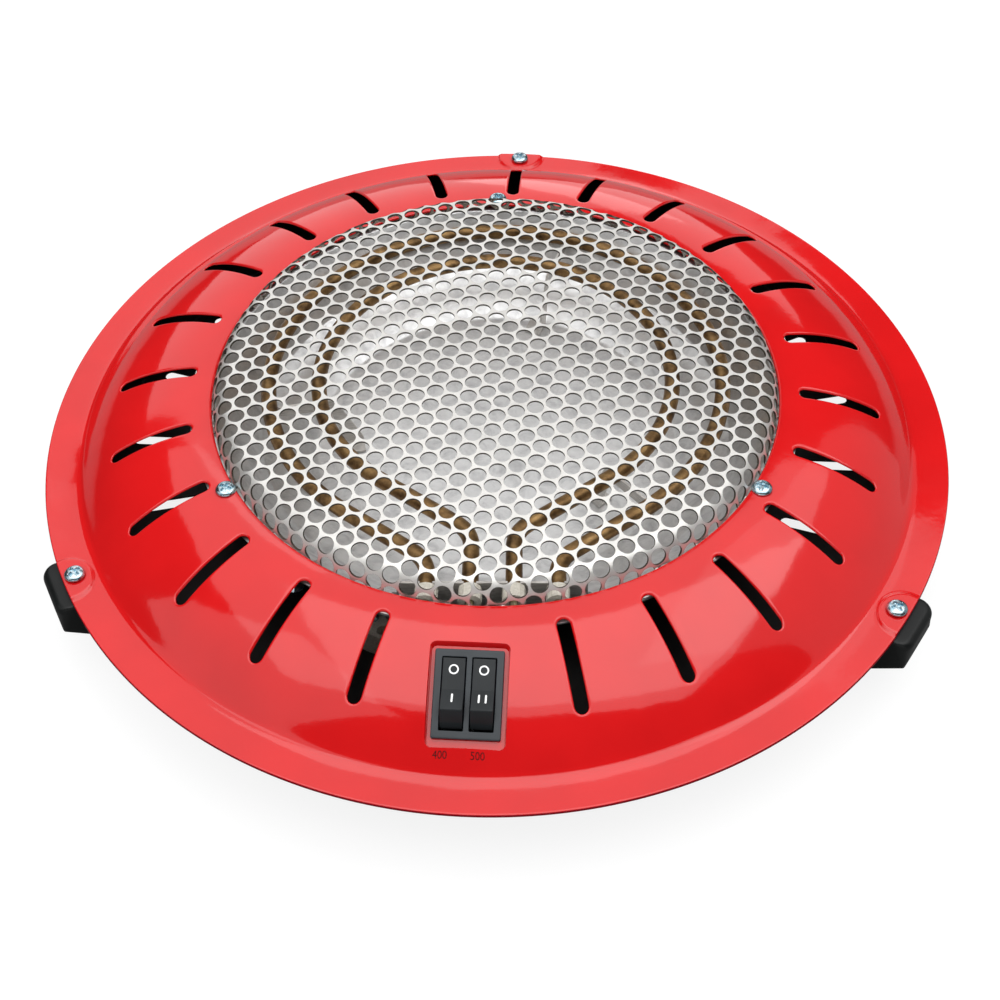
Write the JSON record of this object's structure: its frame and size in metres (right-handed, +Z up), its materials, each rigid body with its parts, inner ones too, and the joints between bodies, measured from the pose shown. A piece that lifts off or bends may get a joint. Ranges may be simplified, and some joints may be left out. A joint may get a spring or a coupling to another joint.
{
  "type": "electric brazier heater",
  "caption": "Low round electric brazier: sheathed elements in a reflector bowl under a perforated domed grille, slotted enamelled cover, rocker switch and moulded feet.",
  "frame": {"origin": "on the floor, under the middle of the round cover", "axes": "+Z up, the switch faces -Y, +X to the right when facing the switch"},
  "size_m": [0.38, 0.3853, 0.0758],
  "materials": {
    "red_enamel": "glossy baked enamel on pressed steel",
    "plated_grille": "light satin plating on punched steel",
    "reflector_sheet": "bright rolled aluminised sheet, slightly blotchy",
    "element_sheath": "steel tube browned by heat",
    "bright_plate": "bright plated pressed steel",
    "bush_ceramic": "off-white ceramic",
    "pin_metal": "tinned terminal metal",
    "zinc_screws": "blue-white zinc plating",
    "pan_paint": "black heat-resistant paint, satin",
    "grommet_rubber": "matt black",
    "foot_plastic": "black satin moulding",
    "switch_plastic": "dark grey satin nylon",
    "rocker_plastic": "near-black satin nylon",
    "spade_brass": "plain stamped brass",
    "block_plastic": "off-white moulding"
  },
  "bodies": {
    "heater": {"top_cover": "red_enamel", "grille": "plated_grille", "reflector": "reflector_sheet", "inner_element": "element_sheath", "outer_element": "element_sheath", "element_bracket": "bright_plate", "element_comb_right": "bright_plate", "element_comb_back": "bright_plate", "element_comb_left": "bright_plate", "terminal_bush_outer_left": "bush_ceramic", "terminal_bush_inner_left": "bush_ceramic", "terminal_bush_inner_right": "bush_ceramic", "terminal_bush_outer_right": "bush_ceramic", "terminal_pin_outer_left": "pin_metal", "terminal_pin_inner_left": "pin_metal", "terminal_pin_inner_right": "pin_metal", "terminal_pin_outer_right": "pin_metal", "grille_screw_right": "zinc_screws", "grille_screw_back": "zinc_screws", "grille_screw_left": "zinc_screws", "grille_nut_right": "zinc_screws", "grille_nut_back": "zinc_screws", "grille_nut_left": "zinc_screws", "foot_screw_right": "zinc_screws", "foot_screw_back": "zinc_screws", "foot_screw_left": "zinc_screws", "bracket_screw": "zinc_screws", "bracket_nut": "zinc_screws", "earth_screw": "zinc_screws", "earth_nut": "zinc_screws", "block_screw": "zinc_screws", "base_pan": "pan_paint", "cord_grommet": "grommet_rubber", "foot_right": "foot_plastic", "foot_back": "foot_plastic", "foot_left": "foot_plastic", "switch_body": "switch_plastic", "switch_spade_left_in": "spade_brass", "switch_spade_left_out": "spade_brass", "switch_spade_right_in": "spade_brass", "switch_spade_right_out": "spade_brass", "terminal_block": "block_plastic"},
    "rocker_left": {"rocker_left": "rocker_plastic"},
    "rocker_right": {"rocker_right": "rocker_plastic"}
  },
  "joints": [
    {"name": "rocker_left_tilt", "type": "hinge", "parent": "heater", "child": "rocker_left", "pos_m": [-0.00545, -0.14788, 0.04839], "axis": [1, 0, 0], "range_deg": [0, 25]},
    {"name": "rocker_right_tilt", "type": "hinge", "parent": "heater", "child": "rocker_right", "pos_m": [0.00545, -0.14788, 0.04839], "axis": [1, 0, 0], "range_deg": [0, 25]}
  ]
}
